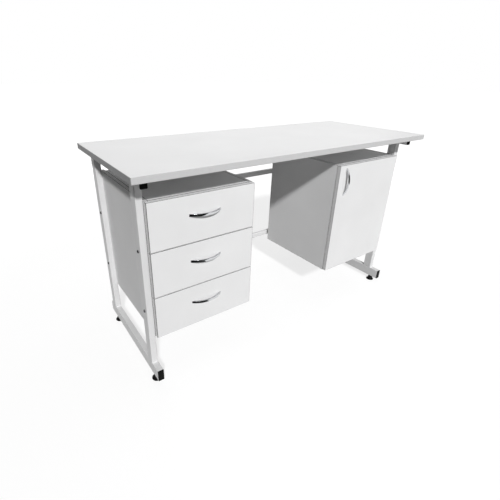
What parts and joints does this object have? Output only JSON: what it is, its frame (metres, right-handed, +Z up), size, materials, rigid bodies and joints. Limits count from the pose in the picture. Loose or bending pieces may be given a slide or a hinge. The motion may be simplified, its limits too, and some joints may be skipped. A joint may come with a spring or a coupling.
{
  "type": "laboratory table",
  "caption": "Laboratory table on a white tube frame with a pale work top, a drawer pedestal, a door pedestal, bow handles and levelling feet.",
  "frame": {"origin": "on the floor under the middle of the work top", "axes": "+X along the length to the door pedestal, +Y to the back, +Z up"},
  "size_m": [1.5, 0.6, 0.86],
  "materials": {
    "top_laminate": "pale grey laminate, fine pearl texture",
    "edge_band": "grey edge band, satin",
    "white_steel": "white powder coat",
    "black_plastic": "black moulded plastic",
    "zinc_steel": "zinc plated",
    "dark_bolt": "dark zinc plated",
    "panel_laminate": "pale grey laminated chipboard",
    "white_hardboard": "white faced hardboard",
    "chrome": "bright chrome"
  },
  "bodies": {
    "frame": {"top_panel": "top_laminate", "top_edge_band": "edge_band", "left_front_post": "white_steel", "left_rear_post": "white_steel", "right_front_post": "white_steel", "right_rear_post": "white_steel", "left_foot_rail": "white_steel", "right_foot_rail": "white_steel", "left_top_rail": "white_steel", "right_top_rail": "white_steel", "upper_rear_rail": "white_steel", "lower_rear_rail": "white_steel", "rail_end_caps": "black_plastic", "foot_inserts": "zinc_steel", "top_screws": "zinc_steel", "sleeve_nuts": "zinc_steel", "shelf_pins": "zinc_steel", "slide_cabinet_members": "zinc_steel", "hinge_plates": "zinc_steel", "hinge_arms": "zinc_steel", "frame_bolts": "dark_bolt", "drawer_unit_outer_side": "panel_laminate", "drawer_unit_inner_side": "panel_laminate", "drawer_unit_top": "panel_laminate", "drawer_unit_bottom": "panel_laminate", "cabinet_outer_side": "panel_laminate", "cabinet_inner_side": "panel_laminate", "cabinet_top": "panel_laminate", "cabinet_bottom": "panel_laminate", "cabinet_shelf": "panel_laminate", "drawer_unit_back": "white_hardboard", "cabinet_back": "white_hardboard"},
    "drawer_1": {"drawer_1_front": "panel_laminate", "drawer_1_walls": "panel_laminate", "drawer_1_bottom": "white_hardboard", "drawer_1_handle": "chrome", "drawer_1_slide_members": "zinc_steel"},
    "slide_1_middle": {"slide_1_middle_members": "zinc_steel"},
    "drawer_2": {"drawer_2_front": "panel_laminate", "drawer_2_walls": "panel_laminate", "drawer_2_bottom": "white_hardboard", "drawer_2_handle": "chrome", "drawer_2_slide_members": "zinc_steel"},
    "slide_2_middle": {"slide_2_middle_members": "zinc_steel"},
    "drawer_3": {"drawer_3_front": "panel_laminate", "drawer_3_walls": "panel_laminate", "drawer_3_bottom": "white_hardboard", "drawer_3_handle": "chrome", "drawer_3_slide_members": "zinc_steel"},
    "slide_3_middle": {"slide_3_middle_members": "zinc_steel"},
    "door_links": {"hinge_links": "zinc_steel"},
    "door": {"door_panel": "panel_laminate", "door_handle": "chrome", "hinge_cups": "zinc_steel"},
    "left_front_foot": {"left_front_foot": "black_plastic"},
    "left_rear_foot": {"left_rear_foot": "black_plastic"},
    "right_front_foot": {"right_front_foot": "black_plastic"},
    "right_rear_foot": {"right_rear_foot": "black_plastic"}
  },
  "joints": [
    {"name": "drawer_1_slide", "type": "slide", "parent": "frame", "child": "drawer_1", "axis": [0, -1, 0], "range_m": [0, 0.38]},
    {"name": "slide_1_middle_slide", "type": "slide", "parent": "frame", "child": "slide_1_middle", "axis": [0, -1, 0], "range_m": [0, 0.19]},
    {"name": "drawer_2_slide", "type": "slide", "parent": "frame", "child": "drawer_2", "axis": [0, -1, 0], "range_m": [0, 0.38]},
    {"name": "slide_2_middle_slide", "type": "slide", "parent": "frame", "child": "slide_2_middle", "axis": [0, -1, 0], "range_m": [0, 0.19]},
    {"name": "drawer_3_slide", "type": "slide", "parent": "frame", "child": "drawer_3", "axis": [0, -1, 0], "range_m": [0, 0.38]},
    {"name": "slide_3_middle_slide", "type": "slide", "parent": "frame", "child": "slide_3_middle", "axis": [0, -1, 0], "range_m": [0, 0.19]},
    {"name": "door_link_hinge", "type": "hinge", "parent": "frame", "child": "door_links", "pos_m": [0.6495, -0.192, 0.48], "axis": [0, 0, 1], "range_deg": [-32.4, 0]},
    {"name": "door_hinge", "type": "hinge", "parent": "door_links", "child": "door", "pos_m": [0.674, -0.208, 0.48], "axis": [0, 0, 1], "range_deg": [0, 127.3]},
    {"name": "left_front_foot_screw", "type": "hinge", "parent": "frame", "child": "left_front_foot", "pos_m": [-0.6975, -0.21, 0], "axis": [0, 0, 1], "continuous": true},
    {"name": "left_rear_foot_screw", "type": "hinge", "parent": "frame", "child": "left_rear_foot", "pos_m": [-0.6975, 0.238, 0], "axis": [0, 0, 1], "continuous": true},
    {"name": "right_front_foot_screw", "type": "hinge", "parent": "frame", "child": "right_front_foot", "pos_m": [0.6975, -0.21, 0], "axis": [0, 0, 1], "continuous": true},
    {"name": "right_rear_foot_screw", "type": "hinge", "parent": "frame", "child": "right_rear_foot", "pos_m": [0.6975, 0.238, 0], "axis": [0, 0, 1], "continuous": true}
  ],
  "couplings": [
    {"joint": "slide_1_middle_slide", "follows": "drawer_1_slide", "ratio": 0.5},
    {"joint": "slide_2_middle_slide", "follows": "drawer_2_slide", "ratio": 0.5},
    {"joint": "slide_3_middle_slide", "follows": "drawer_3_slide", "ratio": 0.5},
    {"joint": "door_link_hinge", "follows": "door_hinge", "ratio": -0.25373}
  ]
}
